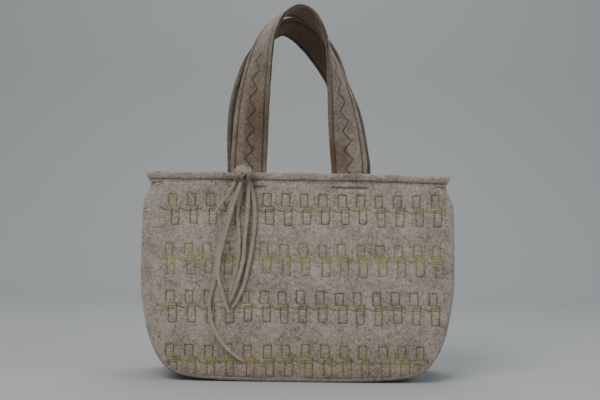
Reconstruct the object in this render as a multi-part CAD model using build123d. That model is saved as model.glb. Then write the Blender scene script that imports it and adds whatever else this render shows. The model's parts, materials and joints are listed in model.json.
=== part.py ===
from build123d import *
import os
from math import atan2, cos, radians, sin, tan

# Knitting bag of wool felt: a boxed tote with a U-shaped gusset, two strap handles,
# rows of embroidery on the front and a knotted tassel at the mouth.
# Millimetres. +Z up, front towards -Y, origin under the middle of the base.

# ---- driving dimensions ----------------------------------------------------
body_top = 258.0            # height of the mouth above the table
bulge_half = 198.5          # half width of the body at its fullest
bulge_top = 200.0           # height where the sides start to draw in to the mouth
bulge_foot = 110.0          # height where the sides start to draw in to the base
neck_half = 189.0           # half width at the mouth
foot_half = 187.0           # half width where the side line would meet the table
base_half_depth = 56.0      # half depth at the table
mouth_half_depth = 27.0     # half depth at the mouth
felt = 3.0                  # thickness of the body felt
corner_radius = 45.0        # rounding of the two bottom corners, seen from the front
side_radius = 300.0         # easing of the side where it draws in to the base
neck_radius = 150.0         # easing of the side where it draws in to the mouth
edge_radius = 13.0          # roll of the gusset from the side to the front and back

band_height = 12.0          # stitched band around the mouth
band_half = 193.0           # half length of the front and back bands
band_felt = 2.0             # how far the band stands off the panel
gusset_hem_felt = 2.0       # turned-in hem at the top of each gusset end

strap_width = 46.0          # width of a handle strap
strap_layer = 2.5           # thickness of each of its two layers
strap_sewn_length = 21.0    # length of strap caught behind the panel
hinge_rise = 12.0           # height of the handle's bend above the mouth
fold_angle = 134.0          # how far down the face of a folded strap may lie from upright
front_leg_half = 64.0       # half spacing of the front handle's legs
front_rise = 197.0          # height of the front handle above its bend
front_turn = 94.0           # degrees that its strap turns from leg to crown
rear_leg_half = 71.0        # the same for the rear handle
rear_rise = 184.0
rear_turn = 66.0
crown_gap = 6.0             # between the edges of the two crowns, seen from above
crown_yaw = 19.0            # degrees that both crowns are swung round, seen from above
front_lean = 6.8            # sideways lean of each crown
rear_lean = 17.0

knot_radius = 11.5          # knot of the tassel
knot_x = -70.0              # place of the knot along the mouth
knot_drop = 3.5             # its centre below the top of the band
tail_drop = 7.5             # centre of the knot to the tops of its tails
tie_radius = 3.0            # thong that runs through the mouth to the knot
tie_stop_radius = 7.0       # stopper knot at its inner end
tie_stop_length = 3.0
tail_diameter = 5.0         # each tail of the tassel

thread_width = 1.0          # embroidery and machine stitching
thread_rise = 0.5
row_half = 178.0            # half length of a row of embroidery
motif_pitch = 23.5          # across the front, motif to motif
motif_shift = 4.5           # the rows stand this far to the right of the middle
motif_width = 10.0
motif_upper = 17.0          # height of a motif's upper box
motif_lower = 20.0          # height of its lower box
motif_offset = 4.0          # lower box stands this far to the right
motif_lines = (-3.0, 0.0, 3.0)
row_heights = (215.0, 152.0, 92.5, 27.0)
stitch_length = 4.0
stitch_pitch = 6.0

# ---- clearances ------------------------------------------------------------
moving_gap = 0.3            # between pieces that move past each other
running_gap = 0.05          # round the tassel's tie in its holes
knot_gap = 0.5              # knot to band

# ---- values that follow ----------------------------------------------------
strap_thickness = 2 * strap_layer
slant = atan2(base_half_depth - mouth_half_depth, body_top)
tall = body_top + 60.0
past = 120.0
front_plane = Plane(
    origin=(0, -base_half_depth, 0),
    x_dir=(1, 0, 0),
    z_dir=(0, -cos(slant), sin(slant)),
)
panel_length = body_top / cos(slant)
hinge_up = (body_top + hinge_rise) / cos(slant)
hinge_out = -felt - strap_layer
hinge_point = front_plane.from_local_coords(Vector(0, hinge_up, hinge_out))
hinge_y = hinge_point.Y
hinge_z = hinge_point.Z
crown_swing = radians(crown_yaw)
crown_turns = sin(radians(front_turn)) + sin(radians(rear_turn))
crown_spread = -2 * hinge_y + (front_lean - rear_lean) * sin(crown_swing)
rear_apart = crown_gap + strap_width / 2 * cos(crown_swing) * crown_turns - crown_spread
knot_up = panel_length - knot_drop
knot_out = band_felt + knot_gap + knot_radius

os.makedirs("parts", exist_ok=True)


def save(name, shape):
    """Write one piece to its own file."""
    export_step(shape, f"parts/{name}.step")


def on_front(x, up, out):
    """A point given across the front panel, up it and out from it."""
    return front_plane.from_local_coords(Vector(x, up, out))


def front_slab(x_low, x_high, up_low, up_high, out_low, out_high):
    """A flat slab that lies parallel to the front panel."""
    block = Box(x_high - x_low, up_high - up_low, out_high - out_low)
    middle = Pos((x_low + x_high) / 2, (up_low + up_high) / 2, (out_low + out_high) / 2)
    return front_plane * middle * block


def body_outline():
    """The body seen from the front, carried on above the mouth."""
    draw_in = (bulge_half - neck_half) / (body_top - bulge_top)
    tall_half = neck_half - draw_in * (tall - body_top)
    right = [(foot_half, 0), (bulge_half, bulge_foot), (bulge_half, bulge_top), (tall_half, tall)]
    left = [(-x, z) for x, z in reversed(right)]
    radii = [neck_radius, side_radius, corner_radius]
    path = FilletPolyline(*left, *right, radius=radii + radii[::-1])
    return make_face(path.edges() + [Line(path @ 1, path @ 0)])


def body_prism(inset):
    """The outline drawn in by inset and run through from front to back."""
    outline = body_outline()
    if inset:
        outline = offset(outline, -inset)
    return extrude(Plane.XZ * outline, amount=past, both=True)


def body_wedge(inset, height):
    """The body seen from the side: deep at the base, narrow at the mouth."""
    step = inset / cos(slant)
    foot = base_half_depth - step
    head = base_half_depth - height * tan(slant) - step
    side = Polygon((-foot, 0), (foot, 0), (head, height), (-head, height), align=None)
    return extrude(Plane.YZ * side, amount=2 * bulge_half, both=True)


def rolled_body(inset, height):
    """A solid body whose front and back run round into the gusset."""
    body = body_prism(inset) & body_wedge(inset, height)
    walls = [face for face in body.faces() if abs(face.normal_at().Y) > 0.9]
    rims = [edge for wall in walls for edge in wall.edges() if edge.center().Z < height - 1]
    return fillet(rims, edge_radius - inset)


def body_shell():
    """The felt of the body: panels and gusset in one, open at the mouth."""
    return rolled_body(0, body_top) - rolled_body(felt, tall - 2 * felt)


def tie_hole():
    """The hole that the tassel's tie runs through."""
    rod = Cylinder(tie_radius + running_gap, past)
    return front_plane * Pos(knot_x, knot_up, 0) * rod


def make_body():
    """Front panel, back panel and gusset, which meet along the side seams."""
    shell = body_shell()
    seam = body_prism(edge_radius)
    panels = shell & seam
    front_half = Pos(0, -past, 0) * Box(4 * bulge_half, 2 * past, 4 * body_top)
    plain_front = panels & front_half
    save("front_panel", plain_front - tie_hole())
    save("back_panel", mirror(plain_front, Plane.XZ))
    save("gusset", shell - seam)


def make_bands():
    """The stitched bands at the mouth and the turned-in hems of the gusset."""
    low = panel_length - band_height
    strip = front_slab(-band_half, band_half, low, panel_length + band_felt, 0, band_felt)
    below_top = Pos(0, 0, body_top / 2) * Box(4 * bulge_half, 4 * past, body_top)
    strip = strip & below_top
    save("front_band", strip - tie_hole())
    save("back_band", mirror(strip, Plane.XZ))

    ring = body_prism(felt) - body_prism(felt + gusset_hem_felt)
    depth = 2 * (mouth_half_depth - edge_radius)
    window = Box(bulge_half, depth, band_height)
    for side, name in ((-1, "left_gusset_hem"), (1, "right_gusset_hem")):
        place = Pos(side * bulge_half, 0, body_top - band_height / 2)
        save(name, ring & (place * window))


def fold_room():
    """Space for the foot of a strap when the handle is folded outwards."""
    half = strap_layer + moving_gap
    reach = 4 * strap_thickness
    slab = Pos(0, 0, reach / 2) * Box(4 * bulge_half, 2 * half, reach)
    return Pos(0, hinge_y, hinge_z) * Rot(fold_angle, 0, 0) * slab


def make_tabs():
    """The ends of the handle straps, caught behind the panels."""
    top = hinge_up - strap_layer - moving_gap
    low = panel_length - strap_sewn_length
    room = fold_room()
    for side, name in ((-1, "left"), (1, "right")):
        for end, leg_half in (("front", front_leg_half), ("rear", rear_leg_half)):
            middle = side * leg_half
            left = middle - strap_width / 2
            right = middle + strap_width / 2
            tab = front_slab(left, right, low, top, -felt - strap_thickness, -felt) - room
            if end == "front":
                tab = tab - tie_hole()
            else:
                tab = mirror(tab, Plane.XZ)
            save(f"{end}_{name}_tab", tab)


def strap_centre_line(leg_half, rise, shape, yaw, apart, lean):
    """Middle line of a strap, from the left bend over the crown to the right bend."""
    left = []
    for spread, climb in shape:
        left.append((-1, spread, climb))
    right = [(1, spread, climb) for _, spread, climb in reversed(left[:-1])]
    points = []
    for side, spread, climb in left + right:
        x = side * spread * leg_half - lean * climb
        swing = radians(yaw * climb)
        y = hinge_y - apart * climb + x * sin(swing)
        points.append((x * cos(swing), y, hinge_z + climb * rise))
    return Spline(*points, tangents=[(0, 0, 1), (0, 0, -1)])


def strap_section(line, place, rise, turn, yaw):
    """The plane across the strap at one place on its middle line."""
    middle = line.position_at(place)
    along = line.tangent_at(place)
    climb = max(0.0, (middle.Z - hinge_z) / rise)
    swing = radians(yaw * climb)
    facing = Vector(sin(swing), -cos(swing), 0)
    inward = along.cross(facing).normalized()
    twist = radians(turn * climb**1.2)
    across = inward * cos(twist) + inward.cross(along) * sin(twist)
    return Plane(origin=middle, x_dir=across, z_dir=along)


def strap_layers(leg_half, rise, turn, shape, yaw, apart, lean):
    """The face and the backing of one handle strap."""
    line = strap_centre_line(leg_half, rise, shape, yaw, apart, lean)
    stretches = 4
    stations = 4
    planes = []
    for number in range(stretches * stations + 1):
        place = number / (stretches * stations)
        planes.append(strap_section(line, place, rise, turn, yaw))
    layers = []
    for side in (-1, 1):
        sections = []
        for plane in planes:
            sections.append(plane * Pos(0, side * strap_layer / 2) * Rectangle(strap_width, strap_layer))
        pieces = strap_ends(leg_half, side)
        for start in range(0, stretches * stations, stations):
            pieces.append(loft(sections[start:start + stations + 1]))
        layers.append(Part() + pieces)
    return layers


def strap_ends(leg_half, side):
    """Rounded ends of one layer, which roll on the line of the bend."""
    rod = Rot(0, 90, 0) * Cylinder(strap_layer, strap_width)
    keep = Pos(0, side * strap_layer, -strap_layer) * Box(
        2 * strap_width, 2 * strap_layer, 2 * strap_layer
    )
    end = rod & keep
    return [Pos(x, hinge_y, hinge_z) * end for x in (-leg_half, leg_half)]


def make_handles():
    """Both handles, each of a face strap and a backing strap."""
    tall_arch = ((1, 0), (0.90, 0.36), (0.75, 0.66), (0.58, 0.84), (0.30, 0.96), (0, 1))
    wide_arch = ((1, 0), (0.94, 0.36), (0.82, 0.60), (0.64, 0.78), (0.36, 0.93), (0, 1))
    front = strap_layers(
        front_leg_half, front_rise, front_turn, tall_arch, crown_yaw, 0, front_lean
    )
    save("front_handle_face", front[0])
    save("front_handle_backing", front[1])
    rear = strap_layers(
        rear_leg_half, rear_rise, rear_turn, wide_arch, -crown_yaw, rear_apart, rear_lean
    )
    save("rear_handle_face", mirror(rear[0], Plane.XZ))
    save("rear_handle_backing", mirror(rear[1], Plane.XZ))


def box_outline(width, height):
    """A box of thread, seen flat."""
    return Rectangle(width, height) - Rectangle(width - 2 * thread_width, height - 2 * thread_width)


def make_embroidery():
    """Four rows of stepped boxes, sewn along a wandering middle line."""
    count = int(2 * row_half // motif_pitch)
    first = motif_shift - (count - 1) * motif_pitch / 2
    flat = body_prism(edge_radius)
    for number, height in enumerate(row_heights, start=1):
        pieces = []
        for place in range(count):
            x = first + place * motif_pitch
            upper = box_outline(motif_width, motif_upper)
            lower = box_outline(motif_width, motif_lower)
            pieces.append(Pos(x, motif_upper / 2 - motif_lines[2]) * upper)
            pieces.append(Pos(x + motif_offset, motif_lines[2] - motif_lower / 2) * lower)
            reach = motif_pitch + thread_width
            pieces.append(Pos(x + motif_pitch / 2, motif_lines[1]) * Rectangle(reach, thread_width))
        row = Sketch() + pieces
        place = front_plane * Pos(0, height / cos(slant))
        threads = extrude(place * row, amount=thread_rise)
        save(f"embroidery_row_{number}", threads & flat)


def stitch_line(x_low, x_high, up, out):
    """A run of machine stitches across the front."""
    count = int((x_high - x_low - stitch_length) // stitch_pitch) + 1
    start = (x_low + x_high - (count - 1) * stitch_pitch) / 2
    stitches = []
    for number in range(count):
        middle = start + number * stitch_pitch
        stitch = front_slab(
            middle - stitch_length / 2,
            middle + stitch_length / 2,
            up - thread_width / 2,
            up + thread_width / 2,
            out,
            out + thread_rise,
        )
        stitches.append(stitch)
    return stitches


def make_stitching():
    """Stitching along the bands and across the caught strap ends."""
    inset = 2.0
    band_up = panel_length - band_height + inset
    line = stitch_line(-band_half + inset, band_half - inset, band_up, band_felt)
    clear = knot_radius + knot_gap
    front = [one for one in line if abs(one.center().X - knot_x) > clear]
    save("front_band_stitching", Compound(front))
    save("back_band_stitching", mirror(Compound(line), Plane.XZ))

    anchor_up = panel_length - strap_sewn_length + 2 * inset
    for end, leg_half in (("front", front_leg_half), ("back", rear_leg_half)):
        stitches = []
        for middle in (-leg_half, leg_half):
            reach = strap_width / 2
            stitches += stitch_line(middle - reach, middle + reach, anchor_up, 0)
        group = Compound(stitches)
        if end == "back":
            group = mirror(group, Plane.XZ)
        save(f"{end}_anchor_stitching", group)


def make_tie_and_knot():
    """The thong through the mouth, its stopper, and the knot in front."""
    inner = -felt - strap_thickness
    outer = knot_out - knot_radius - moving_gap
    rod_low = inner - moving_gap - tie_stop_length
    rod = Pos(knot_x, knot_up, (rod_low + outer) / 2) * Cylinder(tie_radius, outer - rod_low)
    stop = Pos(knot_x, knot_up, rod_low + tie_stop_length / 2) * Cylinder(
        tie_stop_radius, tie_stop_length
    )
    save("tassel_tie", front_plane * (rod + stop))

    save("tassel_knot", front_plane * Pos(knot_x, knot_up, knot_out) * Sphere(knot_radius))


def tail_radii(points):
    """The bend radius at each inner point, from its two runs and its turn."""
    radii = []
    for before, here, after in zip(points, points[1:], points[2:]):
        run_in = here - before
        run_out = after - here
        shorter = min(run_in.length, run_out.length)
        half_turn = radians(run_in.get_angle(run_out)) / 2
        radii.append(0.45 * shorter / tan(half_turn))
    return radii


def make_tail(name, layer, route):
    """One tail of the tassel, hanging down in front of the panel in its own layer."""
    start_out = knot_out + (layer - 1) * tail_diameter
    hang_out = tail_diameter * (1 + 1.2 * layer)
    outs = [start_out] + [hang_out] * (len(route) - 1)
    points = [on_front(x, up, out) for (x, up), out in zip(route, outs)]
    radii = tail_radii(points)
    path = FilletPolyline(*points, radius=radii)
    section = Plane(origin=path @ 0, z_dir=path % 0) * Circle(tail_diameter / 2)
    tube = sweep(section, path=path)
    expected = section.area * path.length
    print(name, "length", round(path.length, 1), "tightest", round(min(radii), 1),
          "volume ratio", round(tube.volume / expected, 4))
    save(name, tube)


def make_tails():
    """Six ends of three thongs, in three layers one before the other."""
    top = knot_up - tail_drop
    near = 0
    middle = 1
    far = 2
    make_tail("tassel_tail_1", middle, [
        (-78.0, top), (-86.5, 233.0), (-98.5, 219.5), (-105.5, 206.0)])
    make_tail("tassel_tail_2", near, [
        (-76.0, top), (-85.5, 216.3), (-94.5, 178.0), (-100.4, 151.0), (-102.1, 128.0),
        (-109.1, 101.6), (-109.1, 87.5), (-104.8, 66.2), (-92.5, 46.8), (-80.3, 34.5),
        (-68.0, 26.4)])
    make_tail("tassel_tail_3", far, [
        (-71.0, top), (-83.0, 214.0), (-93.0, 171.0), (-98.8, 148.0), (-98.8, 126.0),
        (-93.4, 110.3), (-88.5, 95.0), (-83.8, 83.0)])
    make_tail("tassel_tail_4", near, [
        (-68.5, top), (-73.5, 229.0), (-76.8, 207.5), (-74.1, 189.7), (-73.3, 163.0),
        (-74.3, 145.7), (-80.3, 119.0), (-86.4, 97.3)])
    make_tail("tassel_tail_5", middle, [
        (-62.8, top), (-62.8, 225.0), (-64.5, 198.8), (-67.1, 172.0), (-67.1, 154.4),
        (-70.6, 137.0), (-78.5, 110.3), (-84.4, 95.6)])
    make_tail("tassel_tail_6", near, [
        (-61.5, top), (-55.0, 225.0), (-54.0, 198.8), (-57.5, 163.0), (-62.8, 137.0),
        (-66.2, 119.0), (-73.5, 101.6), (-81.0, 90.0)])


make_body()
make_bands()
make_tabs()
make_handles()
make_embroidery()
make_stitching()
make_tie_and_knot()
make_tails()
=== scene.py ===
import json
import math
import random

import bpy
import numpy as np
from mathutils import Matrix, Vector
from mathutils.kdtree import KDTree


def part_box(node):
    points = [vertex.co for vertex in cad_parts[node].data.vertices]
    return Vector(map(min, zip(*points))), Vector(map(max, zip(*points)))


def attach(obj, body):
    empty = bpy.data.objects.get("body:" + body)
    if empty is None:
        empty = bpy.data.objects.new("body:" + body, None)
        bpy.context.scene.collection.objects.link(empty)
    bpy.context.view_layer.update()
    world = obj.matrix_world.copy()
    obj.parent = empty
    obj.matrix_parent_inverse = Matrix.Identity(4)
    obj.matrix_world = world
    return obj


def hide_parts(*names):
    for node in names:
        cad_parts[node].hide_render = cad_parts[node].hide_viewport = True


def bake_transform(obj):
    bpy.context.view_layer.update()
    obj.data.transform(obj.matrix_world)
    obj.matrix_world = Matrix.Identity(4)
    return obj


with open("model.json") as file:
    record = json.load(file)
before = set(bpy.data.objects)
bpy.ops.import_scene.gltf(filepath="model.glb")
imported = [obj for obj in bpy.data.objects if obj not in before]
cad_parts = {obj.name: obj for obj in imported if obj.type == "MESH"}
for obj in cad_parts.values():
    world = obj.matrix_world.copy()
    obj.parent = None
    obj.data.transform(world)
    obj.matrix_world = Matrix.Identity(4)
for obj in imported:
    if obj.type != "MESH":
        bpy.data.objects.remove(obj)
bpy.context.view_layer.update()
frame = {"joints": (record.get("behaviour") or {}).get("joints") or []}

# ---- sizes that come from the frame, in metres ----
MM = 0.001
joints = {joint["name"]: joint for joint in frame["joints"]}
panel_low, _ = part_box("front_panel")
_, gusset_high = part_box("gusset")
tab_low, tab_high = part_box("front_left_tab")
rear_tab_low, rear_tab_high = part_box("rear_left_tab")
knot_low, knot_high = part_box("tassel_knot")

lean_axis = joints["tassel_sway"]["axis"]
slant = math.atan2(lean_axis[2], -lean_axis[1])
body_top = gusset_high.z
bulge_half = gusset_high.x
base_half_depth = -panel_low.y + panel_low.z * math.tan(slant)
panel_length = body_top / math.cos(slant)
seam_inset = panel_low.z
felt = 3.0 * MM
hinge = joints["front_handle_swing"]["pos_m"]
hinge_y = hinge[1]
hinge_z = hinge[2]
strap_width = tab_high.x - tab_low.x
strap_layer = 2.5 * MM
sewn_low = (tab_low.z + 1.5 * MM) / math.cos(slant)
front_leg_half = -(tab_low.x + tab_high.x) / 2
rear_leg_half = -(rear_tab_low.x + rear_tab_high.x) / 2
knot_place = joints["tassel_lift"]["pos_m"]
knot_radius = (knot_high.x - knot_low.x) / 2
knot_x = knot_place[0]
knot_up = panel_length - 3.5 * MM
knot_out = knot_radius + 2.5 * MM
outward = np.array([0.0, -math.cos(slant), math.sin(slant)])
upward = np.array([0.0, math.sin(slant), math.cos(slant)])
sideways = np.array([1.0, 0.0, 0.0])

# ---- sewing, in metres ----
band_row_drop = 0.0092
band_pitch = 0.0034
band_left = -0.1925
band_right = 0.1905
mouth_end = 0.1790
anchor_row_drop = 0.0172
strap_pitch = 0.0031
edge_row_inset = 0.0060
embroidery_pitch = 0.0026
sewing_radius = 0.00055
anchor_radius = 0.0005
embroidery_radius = 0.00066
plain_tone = 0.35
front_seed = 11
back_seed = 23


# ---- geometry helpers ----
def front(x, up, out):
    """Points given across the front panel, up it and out from it."""
    x, up, out = np.broadcast_arrays(x, up, out)
    foot = np.array([0.0, -base_half_depth, 0.0])
    return foot + x[..., None] * sideways + up[..., None] * upward + out[..., None] * outward


def mirrored(points):
    """The same points on the back of the bag."""
    return points * np.array([1.0, -1.0, 1.0])


def ease(t):
    """0 below 0, 1 above 1, smooth between."""
    t = np.clip(t, 0.0, 1.0)
    return t * t * (3 - 2 * t)


def bell(distance, width):
    """1 on a line, falling off beside it."""
    return np.exp(-((distance / width) ** 2))


def ripple(u, v, size, seed):
    """Soft uneven waves over a surface, about 1 high, the same each run."""
    draw = random.Random(seed)
    total = np.zeros(np.broadcast(u, v).shape)
    waves = 7
    for _ in range(waves):
        turn = draw.uniform(0, math.tau)
        phase = draw.uniform(0, math.tau)
        length = size * draw.uniform(0.7, 1.6)
        total = total + np.sin(math.tau * (u * math.cos(turn) + v * math.sin(turn)) / length + phase)
    return total / math.sqrt(waves * 2)


def curve_through(knots, count):
    """Smooth open curve through a few knots, evenly sampled along its length."""
    knots = np.asarray(knots, float)
    ends = np.vstack([2 * knots[0] - knots[1], knots, 2 * knots[-1] - knots[-2]])
    dense = []
    for number in range(len(knots) - 1):
        a, b, c, d = ends[number:number + 4]
        t = np.linspace(0, 1, 40, endpoint=False)[:, None]
        dense.append(0.5 * (2 * b + (c - a) * t + (2 * a - 5 * b + 4 * c - d) * t**2
                            + (3 * b - a - 3 * c + d) * t**3))
    dense = np.vstack(dense + [knots[-1:]])
    return resample(dense, count)


def run_along(points):
    """Distance along a line at each of its points."""
    return np.concatenate([[0], np.cumsum(np.linalg.norm(np.diff(points, axis=0), axis=1))])


def resample(points, count):
    """The same line with evenly spaced points."""
    run = run_along(points)
    wanted = np.linspace(0, run[-1], count)
    return np.stack([np.interp(wanted, run, points[:, k]) for k in range(points.shape[1])], axis=1)


def unit(vectors):
    """Vectors brought to length 1."""
    return vectors / np.linalg.norm(vectors, axis=-1, keepdims=True)


def squarish(wave, power):
    """A sine or cosine with fuller shoulders, for rounded flat sections."""
    return np.sign(wave) * np.abs(wave) ** power


def linked(name, data):
    """A new object in the scene, at the origin."""
    made = bpy.data.objects.new(name, data)
    bpy.context.scene.collection.objects.link(made)
    return made


def mesh_piece(name, vertices, faces, material, body):
    """A finished mesh that rides on a body."""
    mesh = bpy.data.meshes.new(name)
    mesh.from_pydata([tuple(v) for v in vertices], [], faces)
    mesh.validate()
    mesh.shade_smooth()
    mesh.materials.append(material)
    piece = linked(name, mesh)
    if body:
        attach(piece, body)
    return piece


def grid_faces(rows, columns, close_rows=False, close_columns=False, flip=False):
    """Quads between the points of a grid."""
    faces = []
    for r in range(rows if close_rows else rows - 1):
        for c in range(columns if close_columns else columns - 1):
            a = r * columns + c
            b = r * columns + (c + 1) % columns
            d = ((r + 1) % rows) * columns + c
            e = ((r + 1) % rows) * columns + (c + 1) % columns
            faces.append((a, d, e, b) if flip else (a, b, e, d))
    return faces


def grid_piece(name, points, material, body, flip=False):
    """A sheet whose points form a grid."""
    faces = grid_faces(*points.shape[:2], flip=flip)
    return mesh_piece(name, points.reshape(-1, 3), faces, material, body)


def tube_piece(name, rings, material, body, flip=False):
    """A closed skin over a row of rings, with a cap at each end."""
    rows, columns = rings.shape[:2]
    faces = grid_faces(rows, columns, close_columns=True, flip=flip)
    first = tuple(range(columns))
    last = tuple(range((rows - 1) * columns, rows * columns))
    faces.append(first if flip else first[::-1])
    faces.append(last[::-1] if flip else last)
    return mesh_piece(name, rings.reshape(-1, 3), faces, material, body)


def mark(piece, name, values, vector=False):
    """Stores a number, or a direction, at each point of a mesh."""
    kind, field = ("FLOAT_VECTOR", "vector") if vector else ("FLOAT", "value")
    layer = piece.data.attributes.new(name, kind, "POINT")
    layer.data.foreach_set(field, np.ascontiguousarray(values, np.float32).ravel())


def thicken(piece, thickness, sharp=math.radians(50)):
    """Gives a sheet its thickness, inwards, as plain mesh."""
    shell = piece.modifiers.new("felt", "SOLIDIFY")
    shell.thickness = thickness
    shell.offset = -1
    settle(piece)
    piece.data.set_sharp_from_angle(angle=sharp)


def evaluated_mesh(piece):
    """What a piece's curve or modifiers make of it, as plain mesh."""
    bpy.context.view_layer.update()
    graph = bpy.context.evaluated_depsgraph_get()
    return bpy.data.meshes.new_from_object(piece.evaluated_get(graph))


def settle(piece):
    """Turns a piece's modifiers into plain mesh."""
    mesh = evaluated_mesh(piece)
    piece.modifiers.clear()
    piece.data = mesh


# ---- camera ----
def make_camera():
    """Level with the upper part of the bag, a little over a metre in front of it."""
    distance = 1.24
    height = 0.2252
    camera = bpy.data.cameras.new("camera")
    camera.lens = 57.6
    camera.sensor_width = 36.0
    camera.clip_start = 0.01
    holder = linked("camera", camera)
    holder.location = (0.0018, -distance, height)
    holder.rotation_euler = (math.radians(90), math.radians(-0.75), 0)
    bpy.context.scene.camera = holder


make_camera()


# ---- materials ----
class Val:
    """A socket's value, with arithmetic that adds Math nodes."""

    def __init__(self, graph, socket):
        self.graph = graph
        self.socket = socket

    def _math(self, operation, *values):
        return self.graph.node("ShaderNodeMath", {"operation": operation}, dict(enumerate(values)))

    def __add__(self, other):
        return self._math("ADD", self, other)

    def __sub__(self, other):
        return self._math("SUBTRACT", self, other)

    def __rsub__(self, other):
        return self._math("SUBTRACT", other, self)

    def __mul__(self, other):
        return self._math("MULTIPLY", self, other)

    def clamp(self):
        held = self._math("MAXIMUM", self, 0.0)
        return held._math("MINIMUM", held, 1.0)

    __radd__ = __add__
    __rmul__ = __mul__


def add_node(tree, kind, settings=None, sockets=None):
    """A node: its settings are made first, then its sockets are filled or linked."""
    made = tree.nodes.new(kind)
    for key, value in (settings or {}).items():
        if key == "stops":
            set_stops(made.color_ramp, value)
        else:
            setattr(made, key, value)
    for key, value in (sockets or {}).items():
        value = value.socket if isinstance(value, Val) else value
        if isinstance(value, bpy.types.NodeSocket):
            tree.links.new(value, made.inputs[key])
        else:
            made.inputs[key].default_value = value
    return made


def set_stops(ramp, stops):
    """Places and colours of a colour ramp."""
    while len(ramp.elements) < len(stops):
        ramp.elements.new(0.5)
    for element, (place, colour) in zip(ramp.elements, stops):
        element.position = place
        element.color = (*colour, 1)


class Graph:
    """A material's node tree."""

    def __init__(self, name, **surface):
        self.material = bpy.data.materials.new(name)
        self.material.use_nodes = True
        self.tree = self.material.node_tree
        self.shader = self.tree.nodes["Principled BSDF"]
        for key, value in surface.items():
            self.shader.inputs[key.replace("_", " ")].default_value = value

    def node(self, kind, settings=None, sockets=None, output=0):
        made = add_node(self.tree, kind, settings, sockets)
        return Val(self, made.outputs[output])

    def place(self):
        return self.node("ShaderNodeTexCoord", output="Object")

    def noise(self, scale, detail=2.0, roughness=0.5, stretch=None, distortion=0.0):
        where = self.place()
        if stretch:
            where = self.node("ShaderNodeMapping", None, {"Vector": where, "Scale": stretch})
        return self.node("ShaderNodeTexNoise", None, {
            "Vector": where, "Scale": scale, "Detail": detail, "Roughness": roughness,
            "Distortion": distortion})

    def mix(self, factor, a, b, blend="MIX"):
        settings = {"data_type": "RGBA", "blend_type": blend}
        return self.node("ShaderNodeMix", settings, {0: factor, 6: a, 7: b}, output=2)

    def attribute(self, name):
        return self.node("ShaderNodeAttribute", {"attribute_name": name}, output="Fac")

    def feed(self, name, value):
        self.tree.links.new(value.socket, self.shader.inputs[name])

    def bump(self, height, strength, distance):
        self.feed("Normal", self.node("ShaderNodeBump", None, {
            "Height": height, "Strength": strength, "Distance": distance}))


def felt_material(name, light, dark, warm, mottle=1.0):
    """Heathered wool felt: short tangled fibres, soft clouds of tone, a napped surface."""
    graph = Graph(name, Roughness=0.93, Sheen_Weight=0.25, Sheen_Roughness=0.55,
                  Specular_IOR_Level=0.12)
    clouds = graph.noise(38.0, 3.0, 0.55)
    flecks = graph.noise(330.0, 3.0, 0.65, distortion=0.6)
    grains = graph.noise(900.0, 2.0, 0.6)
    lying = graph.noise(420.0, 2.0, 0.6, stretch=(1.0, 1.0, 0.28), distortion=1.4)
    standing = graph.noise(420.0, 2.0, 0.6, stretch=(0.28, 0.28, 1.0), distortion=1.4)
    tone = (0.5 + (flecks - 0.5) * (1.7 * mottle) + (lying - 0.5) * (1.1 * mottle)
            + (standing - 0.5) * (1.1 * mottle) + (grains - 0.5) * (0.9 * mottle)
            + (clouds - 0.5) * (0.9 * mottle)).clamp()
    base = graph.mix(tone, (*dark, 1), (*light, 1))
    warmth = ((graph.noise(95.0, 2.0, 0.5) - 0.5) * 1.8 + 0.3).clamp()
    base = graph.mix(warmth, base, graph.mix(0.5, base, (*warm, 1)))
    # Painted shade and painted brown reflected light: where the tan attribute is set, the felt is
    # darkened and browned, unevenly.
    brown_shade = (graph.attribute("tan") * (0.55 + clouds * 0.5)).clamp()
    base = graph.mix(brown_shade, base, graph.mix(1.0, base, (0.50, 0.36, 0.25, 1), "MULTIPLY"))
    # Painted shade in creases, grooves, dents and folds: the crease attribute darkens the felt towards
    # near black.
    shade_in_creases = (graph.attribute("crease") * 0.72).clamp()
    graph.feed("Base Color", graph.mix(shade_in_creases, base, (0.030, 0.020, 0.013, 1)))
    graph.feed("Roughness", 0.86 + (flecks * 0.14))
    nap = flecks * 0.5 + lying * 0.5 + standing * 0.5 + grains * 0.35
    graph.bump(nap, 0.75, 0.0012)
    return graph.material


def thread_material(name, stops, shade_from_attribute=True):
    """Shaded sewing thread: its colour runs along the stitch line."""
    graph = Graph(name, Roughness=0.5, Sheen_Weight=0.15, Specular_IOR_Level=0.45)
    runs = graph.noise(55.0, 2.0, 0.5)
    tone = (runs - 0.5) * 1.3 + plain_tone
    if shade_from_attribute:
        tone = tone + (graph.attribute("shade") - plain_tone)
    dye = graph.node("ShaderNodeValToRGB", {"stops": stops}, {"Fac": tone.clamp()})
    graph.feed("Base Color", dye)
    twist = graph.noise(2600.0, 1.0, 0.5)
    graph.bump(twist, 0.5, 0.0002)
    return graph.material


body_felt = felt_material("body_felt", (0.535, 0.485, 0.415), (0.168, 0.143, 0.121),
                          (0.43, 0.335, 0.265), 1.1)
# Painted shade: the straps are the same felt as the body, made darker and browner because they are lit
# less.
strap_felt = felt_material("strap_felt", (0.40, 0.35, 0.29), (0.125, 0.10, 0.08), (0.30, 0.22, 0.16))
thong_felt = felt_material("thong_felt", (0.52, 0.455, 0.37), (0.23, 0.19, 0.15), (0.44, 0.33, 0.24), 0.7)
embroidery_thread = thread_material("embroidery_thread", [
    (0.0, (0.085, 0.050, 0.003)), (0.35, (0.165, 0.120, 0.003)),
    (0.65, (0.275, 0.240, 0.004)), (1.0, (0.58, 0.50, 0.018))])
# Painted shade: the sewing thread is about the colour of the felt, and is made near black to stand for
# the shade in its sewn grooves.
sewing_thread = thread_material("sewing_thread", [
    (0.0, (0.030, 0.022, 0.016)), (1.0, (0.075, 0.056, 0.042))], False)


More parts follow.
